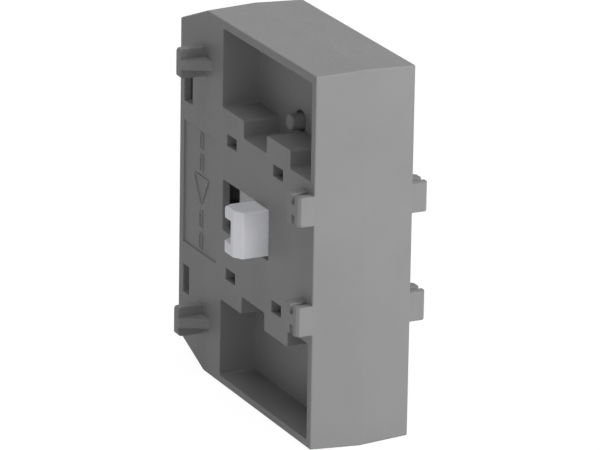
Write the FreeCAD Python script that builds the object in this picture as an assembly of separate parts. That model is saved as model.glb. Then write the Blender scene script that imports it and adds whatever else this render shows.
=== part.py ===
"""Mechanical interlock that sits between two contactors, so that only one of them can be closed.

Two moulded half shells hold two fork sliders, one at each flank. A balance lever joins the
sliders inside: when one fork is pushed towards the plain face, the other is driven the opposite
way and stands behind the second contactor's finger.

Frame, in millimetres: X runs across the unit, with the parting plane of the shells at x = 0.
Y runs from the plain face (-Y) to the shouldered face (+Y). Z is up. The origin is below the
middle of the unit, on the lowest line of the parting ridge. Every piece is drawn with y counted
from the plain face and z from mid-height, and then moved to its place in that frame.
"""

import FreeCAD, Part
import math
import os

# Outline of the unit
THICKNESS = 20.0
HEIGHT = 71.4
DEPTH = 59.0
SHOULDER_LENGTH = 11.8
SHOULDER_DROP = 4.4
DRAFT = 0.45
EDGE_RADIUS = 0.3

# Walls of the shells
WALL = 1.5
RIM_WALL = 1.55
BACK_WALL = 1.2
TONGUE_THICKNESS = 0.7
TONGUE_HEIGHT = 0.8
TONGUE_CLEARANCE = 0.1

# Pockets in the flanks, with two snap towers that stand into each
POCKET_DEPTH = 7.5
POCKET_RADIUS = 0.4
BAND_HEIGHT = 31.0
TOWER_RISE = 3.45

# Places along the pockets, as shares of the way from the plain face to the pockets' end
FRONT_TOWER_SHARE = 0.257
FRONT_TOWER_END_SHARE = 0.51
REAR_TOWER_SHARE = 0.762
FRONT_SNAP_SHARE = 0.385
REAR_SNAP_SHARE = 0.892
PEG_SHARE = 0.543

# Window that a fork moves in
WINDOW_SETBACK = 0.5
WINDOW_REAR_GAP = 4.7
WINDOW_HEIGHT = 10.0

# Snap arms of one shell, their ledges in the other and the small windows over them
SNAP_WINDOW_WIDTH = 4.2
SNAP_WINDOW_HEIGHT = 2.3
SNAP_WINDOW_EDGE = 14.3
SNAP_ARM_THICKNESS = 1.2
SNAP_ARM_CLEARANCE = 0.2
SNAP_NOSE = 1.1
SNAP_NOSE_LENGTH = 1.0
SNAP_NOSE_FLAT = 0.35
SNAP_ARM_TAPER = 3.6
SNAP_LEDGE_REACH = 4.4
SNAP_LEDGE_THICKNESS = 1.1
SNAP_GUSSET = 0.8
SNAP_PLAY = 0.1

# Locating pegs, each through a hole in the other shell
PEG_HEIGHT = 20.45
PEG_RADIUS = 1.6
PEG_REACH = 2.4
PEG_CLEARANCE = 0.55
PEG_CHAMFER = 0.25

# Tool slots beside the shouldered face, placed by how far in front of that face they start
UPPER_SLOT_SETBACK = 5.75
UPPER_SLOT_WIDTH = 3.8
UPPER_SLOT_LOW = 15.5
UPPER_SLOT_HEIGHT = 6.9
LOWER_SLOT_SETBACK = 4.9
LOWER_SLOT_WIDTH = 2.7
LOWER_SLOT_LOW = -22.7
LOWER_SLOT_HEIGHT = 5.6

# Shallow bare plate recess
RECESS_SETBACK = 17.1
RECESS_WIDTH = 15.1
RECESS_LOW = -12.6
RECESS_HEIGHT = 24.35
RECESS_DEPTH = 0.3

# T-shaped hooks near the shouldered face
T_HOOK_HEIGHT = 25.55
T_HOOK_REACH = 5.0
T_BAR_SETBACK = 11.15
T_BAR_THICKNESS = 2.0
T_BAR_HEIGHT = 5.7
T_RIB_TIP_LENGTH = 0.5
T_RIB_ROOT_LENGTH = 3.2
T_RIB_HEIGHT = 2.0
T_TIP_RADIUS = 0.65

# I-shaped hooks flush with the plain face
I_HOOK_REACH = 3.1
UPPER_I_HOOK_CENTRE = 10.35
LOWER_I_HOOK_CENTRE = -10.65
I_HOOK_HEIGHT = 5.6
I_FRONT_THICKNESS = 1.65
I_WEB_LENGTH = 1.3
I_WEB_HEIGHT = 2.0
I_REAR_THICKNESS = 2.4
I_TIP_CHAMFER = 0.55

# Fork sliders
TRAVEL = 9.0
SLIDE_GAP = 0.2
SLIDER_THICKNESS = 2.0
SLIDER_LAP = 1.5
SLIDER_LEAD = 2.8
SLIDER_BOSS_GAP = 0.7
STRIP_WIDTH = 3.5
UPRIGHT_WIDTH = 3.2
UPRIGHT_GAP = 0.3
SLIDER_CORNER = 0.8
HEAD_GAP = 0.3
HEAD_LENGTH = 6.35
HEAD_HEIGHT = 9.1
HEAD_RISE = 0.35
HEAD_REACH = 6.35
HEAD_CHAMFER_RISE = 1.25
HEAD_CHAMFER_RUN = 1.85
HEAD_REAR_RISE = 1.45
HEAD_REAR_RUN = 0.95
FORK_SLOT_RISE = 0.45
FORK_SLOT_HEIGHT = 4.5
FORK_SLOT_DEPTH = 3.6
HEAD_EDGE = 0.45
BEARING_RIB_MARGIN = 1.0
BEARING_RIB_SETBACK = 4.3
BEARING_RIB_THICKNESS = 1.2
BEARING_RIB_CENTRE = 5.2
GUIDE_RIB_THICKNESS = 1.1
GUIDE_RIB_HEIGHT = 2.2

# Balance lever and its pin
LEVER_ARM = 18.0
LEVER_GAP = 0.3
LEVER_REAR_GAP = 1.8
LEVER_HUB_RADIUS = 4.0
LEVER_ROOT_WIDTH = 6.4
LEVER_PRONG = 1.5
LEVER_TIP = 2.6
LEVER_SLOT_DEPTH = 5.6
STUD_RADIUS = 1.3
STUD_CLEARANCE = 0.35
STUD_OVERRUN = 0.2
PIN_RADIUS = 1.5
PIN_RUNNING_CLEARANCE = 0.05
PIN_SEAT_CLEARANCE = 0.02
PIN_SEAT_DEPTH = 5.5
PIN_END_GAP = 0.2
PIN_CHAMFER = 0.3
BOSS_WALL = 1.1

# Webs behind the T-shaped hooks
WEB_THICKNESS = 1.2
WEB_SETBACK = 0.3

# Length by which a cutting form stands past what it cuts, or a joined form sinks into its root
OVER = 1.0
# Largest difference between two numbers that are taken as the same
NEAR = 0.001

# Places that follow from the sizes above
FLANK = THICKNESS / 2
INNER_FACE = FLANK - WALL
WALL_MIDDLE = FLANK - WALL / 2
POCKET_BACK = FLANK - POCKET_DEPTH
GAP_HALF = POCKET_BACK - BACK_WALL
POCKET_TOP = HEIGHT / 2 - RIM_WALL
BAND_HALF = BAND_HEIGHT / 2
TOWER_TOP = BAND_HALF + TOWER_RISE
LEVER_SLOT_HALF = STUD_RADIUS + STUD_CLEARANCE
LEVER_WIDTH_HALF = LEVER_SLOT_HALF + LEVER_PRONG
LEVER_END = LEVER_ARM + LEVER_TIP
REST_TILT = math.degrees(math.atan2(TRAVEL / 2, LEVER_ARM))
LEVER_SWING = math.hypot(LEVER_END, LEVER_WIDTH_HALF) * math.sin(
    math.atan2(TRAVEL / 2, LEVER_ARM) + math.atan2(LEVER_WIDTH_HALF, LEVER_END)
)
PIVOT_PLACE = DEPTH - WALL - LEVER_REAR_GAP - LEVER_SWING
STUD_PLACE = PIVOT_PLACE - TRAVEL / 2
ROOM_START = STUD_PLACE - UPRIGHT_WIDTH / 2 - UPRIGHT_GAP
POCKET_END = ROOM_START - WALL
FRONT_TOWER_START = POCKET_END * FRONT_TOWER_SHARE
FRONT_TOWER_END = POCKET_END * FRONT_TOWER_END_SHARE
REAR_TOWER_START = POCKET_END * REAR_TOWER_SHARE
SNAP_PLACES = (POCKET_END * FRONT_SNAP_SHARE, POCKET_END * REAR_SNAP_SHARE)
PEG_PLACE = POCKET_END * PEG_SHARE
BOSS_RADIUS = PIN_RADIUS + BOSS_WALL
LEVER_HALF = GAP_HALF - LEVER_GAP
WINDOW_END = POCKET_END - WINDOW_SETBACK
HEAD_END = WINDOW_END - WINDOW_REAR_GAP - TRAVEL
HEAD_START = HEAD_END - HEAD_LENGTH
WINDOW_START = HEAD_START - HEAD_GAP
SLIDER_START = WINDOW_START - SLIDER_LEAD
SLIDER_TAIL = PIVOT_PLACE - BOSS_RADIUS - SLIDER_BOSS_GAP - TRAVEL
SLIDER_FACE = INNER_FACE - SLIDE_GAP
SLIDER_BACK = SLIDER_FACE - SLIDER_THICKNESS
SLIDER_MIDDLE = SLIDER_FACE - SLIDER_THICKNESS / 2
SLIDER_LOW = -WINDOW_HEIGHT / 2 - SLIDER_LAP
STRIP_LOW = WINDOW_HEIGHT / 2 + SLIDER_LAP
STRIP_HIGH = STRIP_LOW + STRIP_WIDTH
T_BAR_START = DEPTH - T_BAR_SETBACK

VECTOR = FreeCAD.Vector
ACROSS = VECTOR(1, 0, 0)
MIDDLE = VECTOR(0, 0, 0)


def block(x_range, y_range, z_range):
    """A rectangular block between three pairs of limits, given in any order."""
    low = [min(pair) for pair in (x_range, y_range, z_range)]
    size = [abs(pair[1] - pair[0]) for pair in (x_range, y_range, z_range)]
    return Part.makeBox(size[0], size[1], size[2], VECTOR(*low))


def side_prism(points, x_start, x_end):
    """A side outline of (y, z) points carried straight across from x_start to x_end."""
    wire = Part.makePolygon([VECTOR(x_start, y, z) for y, z in points + points[:1]])
    return Part.Face(wire).extrude(VECTOR(x_end - x_start, 0, 0))


def top_prism(points, z_start, z_end):
    """A top outline of (x, y) points carried straight up from z_start to z_end."""
    wire = Part.makePolygon([VECTOR(x, y, z_start) for x, y in points + points[:1]])
    return Part.Face(wire).extrude(VECTOR(0, 0, z_end - z_start))


def front_prism(points, y_start, y_end):
    """A front outline of (x, z) points carried straight back from y_start to y_end."""
    wire = Part.makePolygon([VECTOR(x, y_start, z) for x, z in points + points[:1]])
    return Part.Face(wire).extrude(VECTOR(0, y_end - y_start, 0))


def rod(radius, x_start, x_end, y, z):
    """A round rod along X."""
    low = min(x_start, x_end)
    return Part.makeCylinder(radius, abs(x_end - x_start), VECTOR(low, y, z), ACROSS)


def across_edges(shape):
    """The edges of a shape that run straight along X."""
    return [
        edge
        for edge in shape.Edges
        if isinstance(edge.Curve, Part.Line) and abs(edge.Curve.Direction.x) > 1 - NEAR
    ]


def rims_at(shape, x):
    """The edges of a shape that lie wholly in the plane at x."""
    return [edge for edge in shape.Edges if all(abs(v.Point.x - x) < NEAR for v in edge.Vertexes)]


def mirrored(shape):
    """The same shape on the other side of the parting plane."""
    return shape.mirror(MIDDLE, ACROSS)


def turned_over(shape):
    """The same shape turned half a turn about the Y axis through mid-height."""
    turned = shape.copy()
    turned.rotate(MIDDLE, VECTOR(0, 1, 0), 180)
    return turned


def side_outline(x, inset):
    """The unit's side outline at one x, moved inwards by inset or outwards if that is negative."""
    top = HEIGHT / 2
    shoulder = DEPTH - SHOULDER_LENGTH
    corner = top - SHOULDER_DROP
    points = [(0, -top), (shoulder, -top), (DEPTH, -corner), (DEPTH, corner), (shoulder, top), (0, top)]
    wire = Part.makePolygon([VECTOR(x, y, z) for y, z in points + points[:1]])
    if inset == 0:
        return wire
    return wire.makeOffset2D(-inset, 2)


def outline_prism(inset, x_start, x_end):
    """The side outline with its inset, carried straight from x_start to x_end."""
    return Part.Face(side_outline(x_start, inset)).extrude(VECTOR(x_end - x_start, 0, 0))


def outer_form():
    """The left shell's outside: drafted from the parting plane to the flank, with soft edges."""
    form = Part.makeLoft([side_outline(0, -DRAFT), side_outline(-FLANK, 0)], True, True)
    soft = [edge for edge in form.Edges if min(v.Point.x for v in edge.Vertexes) < -FLANK / 2]
    return form.makeFillet(EDGE_RADIUS, soft)


def pocket_form():
    """The space of the upper pocket in the left flank, stepped over the two snap towers."""
    points = [
        (WALL, BAND_HALF),
        (FRONT_TOWER_START, BAND_HALF),
        (FRONT_TOWER_START, TOWER_TOP),
        (FRONT_TOWER_END, TOWER_TOP),
        (FRONT_TOWER_END, BAND_HALF),
        (REAR_TOWER_START, BAND_HALF),
        (REAR_TOWER_START, TOWER_TOP),
        (POCKET_END, TOWER_TOP),
        (POCKET_END, POCKET_TOP),
        (WALL, POCKET_TOP),
    ]
    form = side_prism(points, -FLANK - OVER, -POCKET_BACK)
    return form.makeFillet(POCKET_RADIUS, across_edges(form))


def band_room():
    """The space between the pockets, where a slider runs, with the insides of the snap towers."""
    low = BAND_HALF - WALL
    high = TOWER_TOP - WALL
    front_start = FRONT_TOWER_START + WALL
    front_end = FRONT_TOWER_END - WALL
    rear_start = REAR_TOWER_START + WALL
    upper = [
        (WALL, low),
        (front_start, low),
        (front_start, high),
        (front_end, high),
        (front_end, low),
        (rear_start, low),
        (rear_start, high),
        (DEPTH - WALL, high),
    ]
    lower = [(y, -z) for y, z in reversed(upper)]
    return side_prism(upper + lower, -INNER_FACE, OVER)


def lever_room():
    """The full-height space behind the pockets, where the lever swings."""
    room = outline_prism(WALL, -INNER_FACE, OVER)
    return room.common(block((-FLANK, OVER), (ROOM_START, DEPTH), (-HEIGHT, HEIGHT)))


def snap_window(place):
    """One small window in the left flank, over an upper snap."""
    low = SNAP_WINDOW_EDGE - SNAP_WINDOW_HEIGHT
    half = SNAP_WINDOW_WIDTH / 2
    return block((-FLANK - OVER, -INNER_FACE + OVER), (place - half, place + half), (low, SNAP_WINDOW_EDGE))


def flank_window():
    """The long window that the left fork moves in."""
    half = WINDOW_HEIGHT / 2
    window = block(
        (-FLANK - OVER, -INNER_FACE + OVER),
        (WINDOW_START, WINDOW_END),
        (-half, half),
    )
    return window.makeFillet(POCKET_RADIUS, across_edges(window))


def flank_cut(setback, width, low, height, inner):
    """A rectangular cut in the left flank down to the depth where x is -inner."""
    start = DEPTH - setback
    return block((-FLANK - OVER, -inner), (start, start + width), (low, low + height))


def flank_slots():
    """The two tool slots and the shallow plate recess in the left flank."""
    upper = (UPPER_SLOT_SETBACK, UPPER_SLOT_WIDTH, UPPER_SLOT_LOW, UPPER_SLOT_HEIGHT)
    lower = (LOWER_SLOT_SETBACK, LOWER_SLOT_WIDTH, LOWER_SLOT_LOW, LOWER_SLOT_HEIGHT)
    recess = (RECESS_SETBACK, RECESS_WIDTH, RECESS_LOW, RECESS_HEIGHT)
    return [
        flank_cut(*upper, INNER_FACE - OVER),
        flank_cut(*lower, INNER_FACE - OVER),
        flank_cut(*recess, FLANK - RECESS_DEPTH),
    ]


def t_hook(height):
    """A T-shaped hook on the left flank: a cross bar with a rib on its plain-face side."""
    tip = -FLANK - T_HOOK_REACH
    root = -FLANK + OVER
    bar_half = T_BAR_HEIGHT / 2
    bar = block(
        (tip, root),
        (T_BAR_START, T_BAR_START + T_BAR_THICKNESS),
        (height - bar_half, height + bar_half),
    )
    corners = [edge for edge in rims_at(bar, tip) if abs(edge.Curve.Direction.y) > 1 - NEAR]
    bar = bar.makeFillet(T_TIP_RADIUS, corners)
    rib_half = T_RIB_HEIGHT / 2
    sunk = T_BAR_START + T_BAR_THICKNESS / 2
    plan = [
        (tip, T_BAR_START - T_RIB_TIP_LENGTH),
        (-FLANK, T_BAR_START - T_RIB_ROOT_LENGTH),
        (root, T_BAR_START - T_RIB_ROOT_LENGTH),
        (root, sunk),
        (tip, sunk),
    ]
    rib = top_prism(plan, height - rib_half, height + rib_half)
    return bar.fuse(rib)


def i_hook(centre):
    """An I-shaped hook on the left flank, flush with the plain face."""
    half = I_HOOK_HEIGHT / 2
    web_half = I_WEB_HEIGHT / 2
    web_start = I_FRONT_THICKNESS
    rear_start = web_start + I_WEB_LENGTH
    rear_end = rear_start + I_REAR_THICKNESS
    points = [
        (0, centre - half),
        (web_start, centre - half),
        (web_start, centre - web_half),
        (rear_start, centre - web_half),
        (rear_start, centre - half),
        (rear_end, centre - half),
        (rear_end, centre + half),
        (rear_start, centre + half),
        (rear_start, centre + web_half),
        (web_start, centre + web_half),
        (web_start, centre + half),
        (0, centre + half),
    ]
    tip = -FLANK - I_HOOK_REACH
    hook = side_prism(points, -FLANK + OVER, tip)
    rims = [
        edge
        for edge in rims_at(hook, tip)
        if all(min(abs(v.Point.y), abs(v.Point.y - rear_end)) < NEAR for v in edge.Vertexes)
        and abs(edge.Curve.Direction.z) > 1 - NEAR
    ]
    return hook.makeChamfer(I_TIP_CHAMFER, rims)


def guide_ribs():
    """Two ribs inside the left flank that guide the slider's edges."""
    x_range = (-WALL_MIDDLE, -INNER_FACE + GUIDE_RIB_HEIGHT)
    upper = STRIP_HIGH + SLIDE_GAP
    lower = SLIDER_LOW - SLIDE_GAP
    start = FRONT_TOWER_START + WALL
    return [
        block(x_range, (start, ROOM_START - SLIDER_CORNER), (upper, upper + GUIDE_RIB_THICKNESS)),
        block(x_range, (start, PIVOT_PLACE), (lower - GUIDE_RIB_THICKNESS, lower)),
    ]


def pivot_boss():
    """The boss inside the left flank that holds one end of the lever's pin."""
    boss = rod(BOSS_RADIUS, -WALL_MIDDLE, -GAP_HALF, PIVOT_PLACE, 0)
    seat_radius = PIN_RADIUS + PIN_SEAT_CLEARANCE
    seat = rod(seat_radius, -GAP_HALF - PIN_SEAT_DEPTH, OVER, PIVOT_PLACE, 0)
    return boss.cut(seat)


def hook_webs():
    """Two webs inside the left shell that stiffen the flank behind the T-shaped hooks."""
    webs = []
    half = WEB_THICKNESS / 2
    for height in (-T_HOOK_HEIGHT, T_HOOK_HEIGHT):
        web = block(
            (-WALL_MIDDLE, -WEB_SETBACK),
            (ROOM_START - WALL / 2, DEPTH - WALL / 2),
            (height - half, height + half),
        )
        webs.append(web)
    return webs


def locating_peg():
    """The left shell's peg, on its lower pocket's back wall and through the right shell's hole."""
    end = POCKET_BACK + PEG_REACH
    peg = rod(PEG_RADIUS, -GAP_HALF - BACK_WALL / 2, end, PEG_PLACE, -PEG_HEIGHT)
    return peg.makeChamfer(PEG_CHAMFER, rims_at(peg, end))


def peg_hole():
    """The hole in the left shell's upper back wall for the right shell's peg."""
    return rod(PEG_RADIUS + PEG_CLEARANCE, -POCKET_BACK - OVER, OVER, PEG_PLACE, PEG_HEIGHT)


def tongue(clearance, x_end):
    """The ring that stands past the parting plane from the left shell's wall."""
    outer = outline_prism(WALL - TONGUE_THICKNESS - clearance, 0, x_end)
    return outer.cut(outline_prism(WALL, 0, x_end))


def snap_ledge(place):
    """A ledge inside the left flank, held by two gussets, that an upper snap arm catches."""
    half = SNAP_WINDOW_WIDTH / 2
    z_range = (SNAP_WINDOW_EDGE - SNAP_WINDOW_HEIGHT, SNAP_WINDOW_EDGE)
    ledge = block(
        (-SNAP_LEDGE_REACH - SNAP_LEDGE_THICKNESS, -SNAP_LEDGE_REACH),
        (place - half - SNAP_GUSSET, place + half + SNAP_GUSSET),
        z_range,
    )
    x_range = (-WALL_MIDDLE, -SNAP_LEDGE_REACH)
    for side in (-1, 1):
        inner = place + side * half
        ledge = ledge.fuse(block(x_range, (inner, inner + side * SNAP_GUSSET), z_range))
    return ledge


def snap_arm(place):
    """An upper snap arm, from the right flank across to the left shell's ledge."""
    low = SNAP_WINDOW_EDGE + SNAP_ARM_CLEARANCE
    high = low + SNAP_ARM_THICKNESS
    catch = -SNAP_LEDGE_REACH - SNAP_LEDGE_THICKNESS - SNAP_PLAY
    tip = catch - SNAP_NOSE_LENGTH
    root = WALL_MIDDLE
    points = [
        (root, low),
        (catch, low),
        (catch, low - SNAP_NOSE),
        (catch - SNAP_NOSE_FLAT, low - SNAP_NOSE),
        (tip, low),
        (tip, high),
        (INNER_FACE - SNAP_ARM_TAPER, high),
        (INNER_FACE, high + SNAP_ARM_THICKNESS),
        (root, high + SNAP_ARM_THICKNESS),
    ]
    half = SNAP_WINDOW_WIDTH / 2 - SNAP_ARM_CLEARANCE
    return front_prism(points, place - half, place + half)


def both_heights(shape):
    """A shape above mid-height together with its mirror image below."""
    return [shape, shape.mirror(MIDDLE, VECTOR(0, 0, 1))]


def plain_half():
    """The left shell with all that both shells share, before its own pegs, ribs and snaps."""
    shell = outer_form()
    spaces = both_heights(pocket_form())
    spaces.append(band_room())
    spaces.append(lever_room())
    spaces.append(outline_prism(WALL, -GAP_HALF, OVER))
    shell = shell.cut(spaces)
    inside = [pivot_boss()] + hook_webs()
    for height in (-T_HOOK_HEIGHT, T_HOOK_HEIGHT):
        inside.append(t_hook(height))
    for centre in (LOWER_I_HOOK_CENTRE, UPPER_I_HOOK_CENTRE):
        inside.append(i_hook(centre))
    shell = shell.fuse(inside)
    cuts = [flank_window()] + flank_slots()
    for place in SNAP_PLACES:
        cuts += both_heights(snap_window(place))
    return shell.cut(cuts)


def housing_left():
    """The left shell, which carries the tongue and the snap ledges."""
    shell = plain_half().cut(peg_hole())
    added = guide_ribs() + [locating_peg(), tongue(0, TONGUE_HEIGHT)]
    for place in SNAP_PLACES:
        added += both_heights(snap_ledge(place))
    return shell.fuse(added).removeSplitter()


def housing_right():
    """The right shell, which carries the groove and the snap arms."""
    shell = mirrored(plain_half())
    groove = tongue(TONGUE_CLEARANCE, TONGUE_HEIGHT + TONGUE_CLEARANCE)
    shell = shell.cut([turned_over(peg_hole()), groove])
    added = [turned_over(rib) for rib in guide_ribs()]
    added.append(turned_over(locating_peg()))
    for place in SNAP_PLACES:
        added += both_heights(snap_arm(place))
    return shell.fuse(added).removeSplitter()


def slider_plate():
    """The slider's plate behind the window, with the strip and the upright that reach the lever."""
    upright = STUD_PLACE - UPRIGHT_WIDTH / 2
    strip_end = STUD_PLACE + UPRIGHT_WIDTH / 2
    points = [
        (SLIDER_START, SLIDER_LOW),
        (SLIDER_TAIL, SLIDER_LOW),
        (SLIDER_TAIL, STRIP_LOW),
        (strip_end, STRIP_LOW),
        (strip_end, LEVER_ARM),
        (upright, LEVER_ARM),
        (upright, STRIP_HIGH),
        (SLIDER_START, STRIP_HIGH),
    ]
    plate = side_prism(points, -SLIDER_FACE, -SLIDER_BACK)
    corners = [edge for edge in across_edges(plate) if edge.Vertexes[0].Point.z < LEVER_ARM - OVER]
    plate = plate.makeFillet(SLIDER_CORNER, corners)
    top = rod(UPRIGHT_WIDTH / 2, -SLIDER_FACE, -SLIDER_BACK, STUD_PLACE, LEVER_ARM)
    return plate.fuse(top)


def slider_head():
    """The fork that stands out of the flank and takes the contactor's finger from behind."""
    tip = -FLANK - HEAD_REACH
    points = [
        (-SLIDER_BACK, HEAD_START),
        (tip + HEAD_CHAMFER_RISE, HEAD_START),
        (tip, HEAD_START + HEAD_CHAMFER_RUN),
        (tip, HEAD_END - HEAD_REAR_RUN),
        (tip + HEAD_REAR_RISE, HEAD_END),
        (-SLIDER_BACK, HEAD_END),
    ]
    half = HEAD_HEIGHT / 2
    head = top_prism(points, HEAD_RISE - half, HEAD_RISE + half)
    outside = [edge for edge in head.Edges if min(v.Point.x for v in edge.Vertexes) < -SLIDER_FACE]
    head = head.makeFillet(HEAD_EDGE, outside)
    slot_half = FORK_SLOT_HEIGHT / 2
    slot = block(
        (tip - OVER, -FLANK),
        (HEAD_END - FORK_SLOT_DEPTH, HEAD_END + OVER),
        (FORK_SLOT_RISE - slot_half, FORK_SLOT_RISE + slot_half),
    )
    return head.cut(slot)


def bearing_ribs():
    """Two ribs behind the plate that run against the other slider's ribs at the parting plane."""
    ribs = []
    half = BEARING_RIB_THICKNESS / 2
    for centre in (-BEARING_RIB_CENTRE, BEARING_RIB_CENTRE):
        rib = block(
            (-SLIDER_MIDDLE, -SLIDE_GAP),
            (SLIDER_START + BEARING_RIB_MARGIN, SLIDER_TAIL - BEARING_RIB_SETBACK),
            (centre - half, centre + half),
        )
        ribs.append(rib)
    return ribs


def fork_slider():
    """One fork slider, drawn in the left flank at the plain-face end of its travel."""
    stud_end = LEVER_HALF + STUD_OVERRUN
    stud = rod(STUD_RADIUS, -SLIDER_MIDDLE, stud_end, STUD_PLACE, LEVER_ARM)
    stud = stud.makeChamfer(PEG_CHAMFER, rims_at(stud, stud_end))
    return slider_plate().fuse([slider_head(), stud] + bearing_ribs()).removeSplitter()


def slider_right():
    """The same moulding turned over into the right flank, at the far end of its travel."""
    slider = turned_over(fork_slider())
    slider.translate(VECTOR(0, TRAVEL, 0))
    return slider


def balance_lever():
    """The two-armed lever on the pin, whose forked ends hold the sliders' studs."""
    arm = [
        (PIVOT_PLACE - LEVER_ROOT_WIDTH / 2, 0),
        (PIVOT_PLACE - LEVER_WIDTH_HALF, LEVER_END - LEVER_SLOT_DEPTH),
        (PIVOT_PLACE - LEVER_WIDTH_HALF, LEVER_END),
        (PIVOT_PLACE + LEVER_WIDTH_HALF, LEVER_END),
        (PIVOT_PLACE + LEVER_WIDTH_HALF, LEVER_END - LEVER_SLOT_DEPTH),
        (PIVOT_PLACE + LEVER_ROOT_WIDTH / 2, 0),
    ]
    upper = side_prism(arm, -LEVER_HALF, LEVER_HALF)
    tips = [edge for edge in across_edges(upper) if edge.Vertexes[0].Point.z > LEVER_END - NEAR]
    upper = upper.makeFillet(LEVER_PRONG / 2, tips)
    bottom = LEVER_END - LEVER_SLOT_DEPTH + LEVER_SLOT_HALF
    slot = block(
        (-GAP_HALF, GAP_HALF),
        (PIVOT_PLACE - LEVER_SLOT_HALF, PIVOT_PLACE + LEVER_SLOT_HALF),
        (bottom, LEVER_END + OVER),
    )
    slot = slot.fuse(rod(LEVER_SLOT_HALF, -GAP_HALF, GAP_HALF, PIVOT_PLACE, bottom))
    upper = upper.cut(slot)
    hub = rod(LEVER_HUB_RADIUS, -LEVER_HALF, LEVER_HALF, PIVOT_PLACE, 0)
    bore = rod(PIN_RADIUS + PIN_RUNNING_CLEARANCE, -GAP_HALF, GAP_HALF, PIVOT_PLACE, 0)
    lever = hub.fuse(both_heights(upper)).removeSplitter().cut(bore)
    lever.rotate(VECTOR(0, PIVOT_PLACE, 0), ACROSS, REST_TILT)
    return lever


def pivot_pin():
    """The steel pin between the two bosses."""
    end = GAP_HALF + PIN_SEAT_DEPTH - PIN_END_GAP
    pin = rod(PIN_RADIUS, -end, end, PIVOT_PLACE, 0)
    rims = [edge for edge in pin.Edges if isinstance(edge.Curve, Part.Circle)]
    return pin.makeChamfer(PIN_CHAMFER, rims)


PIECES = {
    "housing_left": housing_left,
    "housing_right": housing_right,
    "slider_left": fork_slider,
    "slider_right": slider_right,
    "balance_lever": balance_lever,
    "pivot_pin": pivot_pin,
}

os.makedirs("parts", exist_ok=True)
for name, make in PIECES.items():
    piece = make()
    piece.translate(VECTOR(0, -DEPTH / 2, HEIGHT / 2 + DRAFT))
    piece.exportStep(f"parts/{name}.step")
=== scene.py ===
"""Finishes, lights and camera for the mechanical interlock.

Frame, in metres: X runs across the unit, Y from the plain face to the shouldered face, Z up. The
origin is below the middle of the unit, on the lowest line of the parting ridge.
"""

import bpy
import numpy as np
from mathutils import Matrix, Vector


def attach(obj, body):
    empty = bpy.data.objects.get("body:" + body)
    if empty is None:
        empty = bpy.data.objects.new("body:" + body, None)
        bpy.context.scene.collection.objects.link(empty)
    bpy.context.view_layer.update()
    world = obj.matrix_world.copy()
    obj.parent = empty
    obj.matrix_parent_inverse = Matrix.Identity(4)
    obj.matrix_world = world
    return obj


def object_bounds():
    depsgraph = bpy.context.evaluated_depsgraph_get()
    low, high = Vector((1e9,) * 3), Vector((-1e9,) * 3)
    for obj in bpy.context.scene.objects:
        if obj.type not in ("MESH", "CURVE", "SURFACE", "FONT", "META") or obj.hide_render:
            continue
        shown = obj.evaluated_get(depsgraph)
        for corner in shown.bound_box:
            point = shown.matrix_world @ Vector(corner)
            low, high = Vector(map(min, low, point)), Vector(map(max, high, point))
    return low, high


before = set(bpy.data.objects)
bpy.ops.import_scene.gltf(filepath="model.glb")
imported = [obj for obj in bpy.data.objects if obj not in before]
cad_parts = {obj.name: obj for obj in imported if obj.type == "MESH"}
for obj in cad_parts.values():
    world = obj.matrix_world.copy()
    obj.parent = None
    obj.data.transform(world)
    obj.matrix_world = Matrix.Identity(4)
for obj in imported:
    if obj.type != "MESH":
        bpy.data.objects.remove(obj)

CAD_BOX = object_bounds()

# Colours, as linear red, green and blue
HOUSING_GREY = (0.257, 0.258, 0.257)
HOUSING_GREY_DEEP = (0.243, 0.244, 0.243)
SLIDER_WHITE = (0.88, 0.885, 0.93)
SLIDER_WHITE_DEEP = (0.83, 0.835, 0.88)
# Painted shade on the slider: greys that stand in for the shadow on its plate inside the shell
SLIDER_PAINTED_SHADE = (0.44, 0.44, 0.46)
SLIDER_PAINTED_SHADE_PALE = (0.50, 0.50, 0.52)
LEVER_GREY = (0.085, 0.085, 0.088)
LEVER_GREY_WORN = (0.11, 0.11, 0.113)
PIN_STEEL = (0.60, 0.60, 0.59)
PIN_STEEL_DULL = (0.48, 0.48, 0.47)
FLOOR_WHITE = (0.82, 0.82, 0.82)

# Random patterns of the finishes, each as its clouds per metre and its levels of finer detail
HOUSING_CLOUDS = (90, 3)
HOUSING_GRAIN = (5200, 2)
HOUSING_SPECKS = (1500, 4)
SLIDER_CLOUDS = (160, 2)
SLIDER_GRAIN = (3200, 2)
LEVER_CLOUDS = (300, 4)
LEVER_GRAIN = (4200, 2)
PIN_CLOUDS = (400, 3)
PIN_RINGS = (1, 3)
PIN_RING_STRETCH = (9000, 60, 60)

# Stretches of a random pattern's values over which roughness and colour change
ROUGHNESS_SPAN = (0.3, 0.7)
COLOUR_SPAN = (0.32, 0.68)

# Roughness of each finish, from its smoothest to its roughest places
HOUSING_ROUGHNESS = (0.46, 0.60)
SLIDER_ROUGHNESS = (0.34, 0.44)
LEVER_ROUGHNESS = (0.38, 0.52)
PIN_ROUGHNESS = (0.22, 0.36)
FLOOR_ROUGHNESS = 0.9

# Fine relief of each finish, as its depth in metres and its strength
HOUSING_SPECK_RELIEF = (0.00001, 0.25)
HOUSING_GRAIN_RELIEF = (0.000012, 0.35)
SLIDER_RELIEF = (0.000006, 0.2)
LEVER_RELIEF = (0.000008, 0.3)
PIN_RELIEF = (0.000003, 0.3)

# Gloss of the nylon and of the floor, and the slight glow inside the acetal
HOUSING_GLOSS = 0.25
FLOOR_GLOSS = 0.1
SLIDER_GLOW_WEIGHT = 0.08
SLIDER_GLOW_REACH = 0.0008

# Radius to which each moulding's sharp edges look rounded
HOUSING_EDGE = 0.00028
SLIDER_EDGE = 0.00025
LEVER_EDGE = 0.00018
EDGE_SAMPLES = 6

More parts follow.
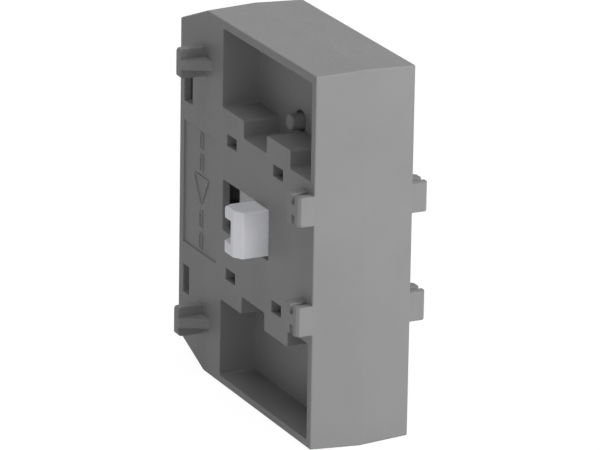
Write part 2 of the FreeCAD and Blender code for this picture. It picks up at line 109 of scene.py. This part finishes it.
# Camera, worked out from the straight edges of the unit
CAMERA_PLACE = (-0.41101, -0.85482, 0.34415)
CAMERA_TURN = -25.76
CAMERA_RISE = 18.12
CAMERA_ROLL = 0.937
CAMERA_LENS = 320.15
CAMERA_SENSOR = 36.0
CAMERA_NEAR = 0.01
CAMERA_FAR = 20

# Light: the strength of the sky, then each lamp's place, the side of its square and its power in watts
SKY_LIGHT = 0.10
KEY_PLACE = (0.285, -0.491, 0.353)
KEY_SIZE = 0.34
KEY_POWER = 2.6
TOP_PLACE = (-0.15, -0.05, 0.75)
TOP_SIZE = 0.40
TOP_POWER = 1.32
SIDE_PLACE = (-0.42, -0.52, 0.20)
SIDE_SIZE = 0.40
SIDE_POWER = 0.57
FRONT_PLACE = (0.082, -0.581, 0.161)
FRONT_SIZE = 0.12
FRONT_POWER = 0.71
BACK_PLACE = (0.09, 0.65, 0.17)
BACK_SIZE = 0.30
BACK_POWER = 0.62

# Floor: its side, and the white that it shows to the camera, with the share that this has in its look
FLOOR_SPAN = 6.0
FLOOR_GLOW = 1.12
FLOOR_GLOW_SHARE = 0.85

# Distance of the plate recess's floor from the parting plane
RECESS_X = 0.0097

# Relief in the plate recess: the plain drawing symbol of an interlock, a dashed line and a triangle
RELIEF_HEIGHT = 0.00022
RELIEF_SINK = 0.00005
STROKE_WIDTH = 0.00042
STROKE_TOP = 0.00026
SYMBOL_Y = 0.01995
SYMBOL_Z = 0.03573
TRIANGLE_HALF = 0.0033
TRIANGLE_HEIGHT = 0.0057
TRIANGLE_CORNER = 0.0006
DASH_LENGTH = 0.0030
DASH_WIDTH = 0.0011
DASH_CORNER = 0.0003
DASH_PLACES = (-0.0099, -0.0056, 0.0056, 0.0099)
CORNER_STEPS = 6

# Stretch beside the parting plane where the edges aren't softened, and over which that fades
SEAM_PLAIN = 0.0004
SEAM_FADE = 0.0004

# Distances from the parting plane between which a slider turns from painted shade to its plain white
PAINTED_SHADE_END = 0.0083
UNSHADED_START = 0.0099


def material(name):
    """A new material with its shader, node tree and the piece's own coordinates."""
    finish = bpy.data.materials.new(name)
    finish.use_nodes = True
    tree = finish.node_tree
    shader = tree.nodes["Principled BSDF"]
    coordinates = tree.nodes.new("ShaderNodeTexCoord")
    return finish, tree, shader, coordinates.outputs["Object"]


def stretched(tree, coordinates, scale):
    """The coordinates scaled by three factors, for a grain that runs one way."""
    mapping = tree.nodes.new("ShaderNodeMapping")
    mapping.inputs["Scale"].default_value = scale
    tree.links.new(coordinates, mapping.inputs["Vector"])
    return mapping.outputs["Vector"]


def noise(tree, coordinates, pattern):
    """Soft random clouds, as a value from 0 to 1; a pattern is clouds per metre and detail levels."""
    scale, detail = pattern
    node = tree.nodes.new("ShaderNodeTexNoise")
    node.inputs["Scale"].default_value = scale
    node.inputs["Detail"].default_value = detail
    tree.links.new(coordinates, node.inputs["Vector"])
    return node.outputs["Fac"]


def between(tree, factor, ends):
    """A value that runs from the first end to the second over the middle of the factor's span."""
    node = tree.nodes.new("ShaderNodeMapRange")
    limits = ("From Min", "From Max", "To Min", "To Max")
    for limit, value in zip(limits, (*ROUGHNESS_SPAN, *ends)):
        node.inputs[limit].default_value = value
    tree.links.new(factor, node.inputs["Value"])
    return node.outputs["Result"]


def shades(tree, factor, first, second):
    """A colour that runs from the first to the second as the factor rises."""
    node = tree.nodes.new("ShaderNodeValToRGB")
    for stop, position, colour in zip(node.color_ramp.elements, COLOUR_SPAN, (first, second)):
        stop.position = position
        stop.color = (*colour, 1)
    tree.links.new(factor, node.inputs["Fac"])
    return node.outputs["Color"]


def relief(tree, height, size, below=None):
    """Surface relief with its depth and strength, laid over other normals if they are given."""
    depth, strength = size
    node = tree.nodes.new("ShaderNodeBump")
    node.inputs["Distance"].default_value = depth
    node.inputs["Strength"].default_value = strength
    tree.links.new(height, node.inputs["Height"])
    if below is not None:
        tree.links.new(below, node.inputs["Normal"])
    return node.outputs["Normal"]


def softened_edges(tree, radius):
    """Normals that run round the sharp edges of a moulding with a small radius."""
    node = tree.nodes.new("ShaderNodeBevel")
    node.samples = EDGE_SAMPLES
    node.inputs["Radius"].default_value = radius
    return node.outputs["Normal"]


def share_outwards(tree, coordinates, start, end):
    """A value that rises from 0 to 1 between two distances from the parting plane at x = 0."""
    parts = tree.nodes.new("ShaderNodeSeparateXYZ")
    tree.links.new(coordinates, parts.inputs["Vector"])
    distance = tree.nodes.new("ShaderNodeMath")
    distance.operation = "ABSOLUTE"
    tree.links.new(parts.outputs["X"], distance.inputs[0])
    share = tree.nodes.new("ShaderNodeMapRange")
    share.inputs["From Min"].default_value = start
    share.inputs["From Max"].default_value = end
    tree.links.new(distance.outputs["Value"], share.inputs["Value"])
    return share.outputs["Result"]


def mixed(tree, kind, share, first, second):
    """The first value turned into the second as the share rises; kind is VECTOR or RGBA."""
    mix = tree.nodes.new("ShaderNodeMix")
    mix.data_type = kind
    ending = {"VECTOR": "Vector", "RGBA": "Color"}[kind]
    sockets = {socket.identifier: socket for socket in [*mix.inputs, *mix.outputs]}
    tree.links.new(share, sockets["Factor_Float"])
    tree.links.new(first, sockets["A_" + ending])
    tree.links.new(second, sockets["B_" + ending])
    return sockets["Result_" + ending]


def plain_at_seam(tree, coordinates, normals):
    """The given normals, but the piece's own ones close to the parting plane."""
    geometry = tree.nodes.new("ShaderNodeNewGeometry")
    share = share_outwards(tree, coordinates, SEAM_PLAIN, SEAM_PLAIN + SEAM_FADE)
    return mixed(tree, "VECTOR", share, geometry.outputs["Normal"], normals)


def housing_plastic():
    """Grey glass-filled nylon with a fine eroded grain and faint flow clouds."""
    finish, tree, shader, place = material("housing_plastic")
    clouds = noise(tree, place, HOUSING_CLOUDS)
    grain = noise(tree, place, HOUSING_GRAIN)
    specks = noise(tree, place, HOUSING_SPECKS)
    tree.links.new(shades(tree, clouds, HOUSING_GREY_DEEP, HOUSING_GREY), shader.inputs["Base Color"])
    tree.links.new(between(tree, specks, HOUSING_ROUGHNESS), shader.inputs["Roughness"])
    shader.inputs["Specular IOR Level"].default_value = HOUSING_GLOSS
    soft = plain_at_seam(tree, place, softened_edges(tree, HOUSING_EDGE))
    broad = relief(tree, specks, HOUSING_SPECK_RELIEF, soft)
    fine = relief(tree, grain, HOUSING_GRAIN_RELIEF, broad)
    tree.links.new(fine, shader.inputs["Normal"])
    return finish


def slider_plastic():
    """Bluish white acetal, smooth and slightly waxy, with grey painted shade where it lies in the
    shell.
    """
    finish, tree, shader, place = material("slider_plastic")
    clouds = noise(tree, place, SLIDER_CLOUDS)
    grain = noise(tree, place, SLIDER_GRAIN)
    unshaded = shades(tree, clouds, SLIDER_WHITE_DEEP, SLIDER_WHITE)
    # Painted shade: grey for the part of the plate that lies shaded inside the shell
    painted_shade = shades(tree, grain, SLIDER_PAINTED_SHADE, SLIDER_PAINTED_SHADE_PALE)
    share = share_outwards(tree, place, PAINTED_SHADE_END, UNSHADED_START)
    tree.links.new(mixed(tree, "RGBA", share, painted_shade, unshaded), shader.inputs["Base Color"])
    tree.links.new(between(tree, grain, SLIDER_ROUGHNESS), shader.inputs["Roughness"])
    shader.inputs["Subsurface Weight"].default_value = SLIDER_GLOW_WEIGHT
    shader.inputs["Subsurface Scale"].default_value = SLIDER_GLOW_REACH
    soft = softened_edges(tree, SLIDER_EDGE)
    tree.links.new(relief(tree, grain, SLIDER_RELIEF, soft), shader.inputs["Normal"])
    return finish


def lever_plastic():
    """Dark grey acetal, with a lighter bloom where it has rubbed."""
    finish, tree, shader, place = material("lever_plastic")
    clouds = noise(tree, place, LEVER_CLOUDS)
    grain = noise(tree, place, LEVER_GRAIN)
    tree.links.new(shades(tree, clouds, LEVER_GREY, LEVER_GREY_WORN), shader.inputs["Base Color"])
    tree.links.new(between(tree, clouds, LEVER_ROUGHNESS), shader.inputs["Roughness"])
    soft = softened_edges(tree, LEVER_EDGE)
    tree.links.new(relief(tree, grain, LEVER_RELIEF, soft), shader.inputs["Normal"])
    return finish


def pin_steel():
    """Drawn steel with fine rings round the pin from its grinding."""
    finish, tree, shader, place = material("pin_steel")
    rings = noise(tree, stretched(tree, place, PIN_RING_STRETCH), PIN_RINGS)
    clouds = noise(tree, place, PIN_CLOUDS)
    tree.links.new(shades(tree, clouds, PIN_STEEL_DULL, PIN_STEEL), shader.inputs["Base Color"])
    shader.inputs["Metallic"].default_value = 1.0
    tree.links.new(between(tree, rings, PIN_ROUGHNESS), shader.inputs["Roughness"])
    tree.links.new(relief(tree, rings, PIN_RELIEF), shader.inputs["Normal"])
    return finish


def rounded_outline(corners, radius):
    """A closed path round the given corners, with each corner rounded.

    A corner P becomes the curve (1 - t)^2 A + 2 t (1 - t) P + t^2 B, with t from 0 to 1, where A
    and B lie on the two sides that meet there, at the distance radius from P.
    """
    corner = np.asarray(corners, dtype=float)
    before = np.roll(corner, 1, axis=0) - corner
    after = np.roll(corner, -1, axis=0) - corner
    start = corner + radius * before / np.linalg.norm(before, axis=1, keepdims=True)
    end = corner + radius * after / np.linalg.norm(after, axis=1, keepdims=True)
    t = np.linspace(0, 1, CORNER_STEPS)[None, :, None]
    arcs = (1 - t) ** 2 * start[:, None] + 2 * t * (1 - t) * corner[:, None] + t**2 * end[:, None]
    return arcs.reshape(-1, 2)


def raised_stroke(path):
    """A ridge carried along a closed path in the recess.

    Each path point (y, z) takes the profile (offset s, height h) as (h, y + s n_y, z + s n_z),
    where n is the path's unit normal, from the difference of the two neighbouring points.
    """
    ahead = np.roll(path, -1, axis=0) - np.roll(path, 1, axis=0)
    ahead /= np.linalg.norm(ahead, axis=1, keepdims=True)
    normal = np.stack([ahead[:, 1], -ahead[:, 0]], axis=1)
    half, top = STROKE_WIDTH / 2, STROKE_TOP / 2
    rising = [(-half, -RELIEF_SINK), (-half, 0.0), (-top, RELIEF_HEIGHT)]
    falling = [(-offset, height) for offset, height in reversed(rising)]
    profile = np.array(rising + falling)
    flat = path[:, None, :] + profile[None, :, 0, None] * normal[:, None, :]
    depth = np.broadcast_to(profile[None, :, 1, None], flat.shape[:2] + (1,))
    return np.concatenate([depth, flat], axis=2)


def ring_faces(along, around):
    """Quads of a grid that closes both ways, with the given counts of points.

    Point (i, j) has the number i times around plus j, and its quad joins it to (i + 1, j),
    (i + 1, j + 1) and (i, j + 1), counted round past the last one.
    """
    i, j = np.meshgrid(np.arange(along), np.arange(around), indexing="ij")
    i_next, j_next = (i + 1) % along, (j + 1) % around
    corners = [i * around + j, i_next * around + j, i_next * around + j_next, i * around + j_next]
    return np.stack(corners, axis=2).reshape(-1, 4)


def symbol_paths():
    """The closed paths of the triangle and of the dashes above and below it."""
    half = TRIANGLE_HEIGHT / 2
    triangle = [
        (SYMBOL_Y - TRIANGLE_HALF, SYMBOL_Z + half),
        (SYMBOL_Y + TRIANGLE_HALF, SYMBOL_Z + half),
        (SYMBOL_Y, SYMBOL_Z - half),
    ]
    paths = [rounded_outline(triangle, TRIANGLE_CORNER)]
    for place in DASH_PLACES:
        y = np.array([-1, 1, 1, -1]) * DASH_WIDTH / 2 + SYMBOL_Y
        z = np.array([1, 1, -1, -1]) * DASH_LENGTH / 2 + SYMBOL_Z + place
        paths.append(rounded_outline(np.stack([y, z], axis=1), DASH_CORNER))
    return paths


def mesh_object(name, points, faces, finish):
    """A flat-shaded mesh object from arrays of points and faces, at the origin, with its finish."""
    mesh = bpy.data.meshes.new(name)
    mesh.from_pydata(points.tolist(), [], faces.tolist())
    mesh.polygons.foreach_set("use_smooth", np.zeros(len(faces), dtype=bool))
    mesh.materials.append(finish)
    mesh.update()
    piece = bpy.data.objects.new(name, mesh)
    bpy.context.scene.collection.objects.link(piece)
    return piece


def interlock_symbol(name, side, finish):
    """The raised symbol in one flank's recess, on the side where x has the given sign.

    A point's x is side times (RECESS_X plus the height over the recess's floor), so the right
    symbol is the mirror image of the left one, with its faces turned the other way round.
    """
    points, faces, count = [], [], 0
    for path in symbol_paths():
        ridge = raised_stroke(path)
        quads = ring_faces(ridge.shape[0], ridge.shape[1])
        ridge = ridge.reshape(-1, 3)
        ridge[:, 0] = side * (RECESS_X + ridge[:, 0])
        points.append(ridge)
        faces.append((quads if side < 0 else quads[:, ::-1]) + count)
        count += len(ridge)
    piece = mesh_object(name, np.concatenate(points), np.concatenate(faces), finish)
    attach(piece, "housing")


def seen_share(tree, share):
    """The given share for what the camera and glossy or clear surfaces see, and 0 for light."""
    path = tree.nodes.new("ShaderNodeLightPath")
    rays = None
    for kind in ("Is Camera Ray", "Is Glossy Ray", "Is Transmission Ray"):
        if rays is None:
            rays = path.outputs[kind]
            continue
        both = tree.nodes.new("ShaderNodeMath")
        both.operation = "MAXIMUM"
        tree.links.new(rays, both.inputs[0])
        tree.links.new(path.outputs[kind], both.inputs[1])
        rays = both.outputs["Value"]
    scaled = tree.nodes.new("ShaderNodeMath")
    scaled.operation = "MULTIPLY"
    scaled.inputs[1].default_value = share
    tree.links.new(rays, scaled.inputs[0])
    return scaled.outputs["Value"]


def floor():
    """A pale floor under the unit, which looks white and keeps the shadow."""
    half = FLOOR_SPAN / 2
    points = np.array([(-half, -half, 0), (half, -half, 0), (half, half, 0), (-half, half, 0)])
    finish = bpy.data.materials.new("studio_floor")
    finish.use_nodes = True
    tree = finish.node_tree
    shader = tree.nodes["Principled BSDF"]
    shader.inputs["Base Color"].default_value = (*FLOOR_WHITE, 1)
    shader.inputs["Roughness"].default_value = FLOOR_ROUGHNESS
    shader.inputs["Specular IOR Level"].default_value = FLOOR_GLOSS
    glow = tree.nodes.new("ShaderNodeEmission")
    glow.inputs["Strength"].default_value = FLOOR_GLOW
    mix = tree.nodes.new("ShaderNodeMixShader")
    tree.links.new(seen_share(tree, FLOOR_GLOW_SHARE), mix.inputs["Fac"])
    tree.links.new(shader.outputs["BSDF"], mix.inputs[1])
    tree.links.new(glow.outputs["Emission"], mix.inputs[2])
    tree.links.new(mix.outputs["Shader"], tree.nodes["Material Output"].inputs["Surface"])
    ground = mesh_object("studio_floor", points, np.array([[0, 1, 2, 3]]), finish)


def sky():
    """Even white light from all round, and a plain white background."""
    world = bpy.data.worlds.new("studio_sky")
    bpy.context.scene.world = world
    world.use_nodes = True
    tree = world.node_tree
    light = tree.nodes["Background"]
    light.inputs["Color"].default_value = (1, 1, 1, 1)
    light.inputs["Strength"].default_value = SKY_LIGHT
    seen = tree.nodes.new("ShaderNodeBackground")
    seen.inputs["Color"].default_value = (1, 1, 1, 1)
    mix = tree.nodes.new("ShaderNodeMixShader")
    tree.links.new(seen_share(tree, 1.0), mix.inputs["Fac"])
    tree.links.new(light.outputs["Background"], mix.inputs[1])
    tree.links.new(seen.outputs["Background"], mix.inputs[2])
    tree.links.new(mix.outputs["Shader"], tree.nodes["World Output"].inputs["Surface"])


def lamp(name, place, size, power):
    """One large square soft light, aimed at the middle of the unit."""
    light = bpy.data.lights.new(name, "AREA")
    light.size = size
    light.energy = power
    stand = bpy.data.objects.new(name, light)
    bpy.context.scene.collection.objects.link(stand)
    middle = (Vector(CAD_BOX[0]) + Vector(CAD_BOX[1])) / 2
    stand.location = place
    stand.rotation_euler = (middle - Vector(place)).to_track_quat("-Z", "Y").to_euler()


def camera():
    """The camera, turned about Z, raised above the horizon and rolled about its own view."""
    lens = bpy.data.cameras.new("camera")
    lens.lens = CAMERA_LENS
    lens.sensor_width = CAMERA_SENSOR
    lens.clip_start = CAMERA_NEAR
    lens.clip_end = CAMERA_FAR
    viewer = bpy.data.objects.new("camera", lens)
    bpy.context.scene.collection.objects.link(viewer)
    turn, rise, roll = np.radians([CAMERA_TURN, CAMERA_RISE, CAMERA_ROLL])
    upright = Matrix.Rotation(turn, 4, "Z") @ Matrix.Rotation(np.pi / 2 - rise, 4, "X")
    viewer.matrix_world = Matrix.Translation(CAMERA_PLACE) @ upright @ Matrix.Rotation(roll, 4, "Z")
    bpy.context.scene.camera = viewer


FINISHES = {
    "housing_left": housing_plastic(),
    "slider_left": slider_plastic(),
    "balance_lever": lever_plastic(),
    "pivot_pin": pin_steel(),
}
FINISHES["housing_right"] = FINISHES["housing_left"]
FINISHES["slider_right"] = FINISHES["slider_left"]

for node, finish in FINISHES.items():
    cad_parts[node].data.materials.clear()
    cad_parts[node].data.materials.append(finish)

interlock_symbol("left_symbol", -1, FINISHES["housing_left"])
interlock_symbol("right_symbol", 1, FINISHES["housing_left"])

sky()
floor()
lamp("key_light", KEY_PLACE, KEY_SIZE, KEY_POWER)
lamp("top_light", TOP_PLACE, TOP_SIZE, TOP_POWER)
lamp("side_light", SIDE_PLACE, SIDE_SIZE, SIDE_POWER)
lamp("front_light", FRONT_PLACE, FRONT_SIZE, FRONT_POWER)
lamp("back_light", BACK_PLACE, BACK_SIZE, BACK_POWER)
camera()
bpy.context.scene.view_settings.view_transform = "Standard"
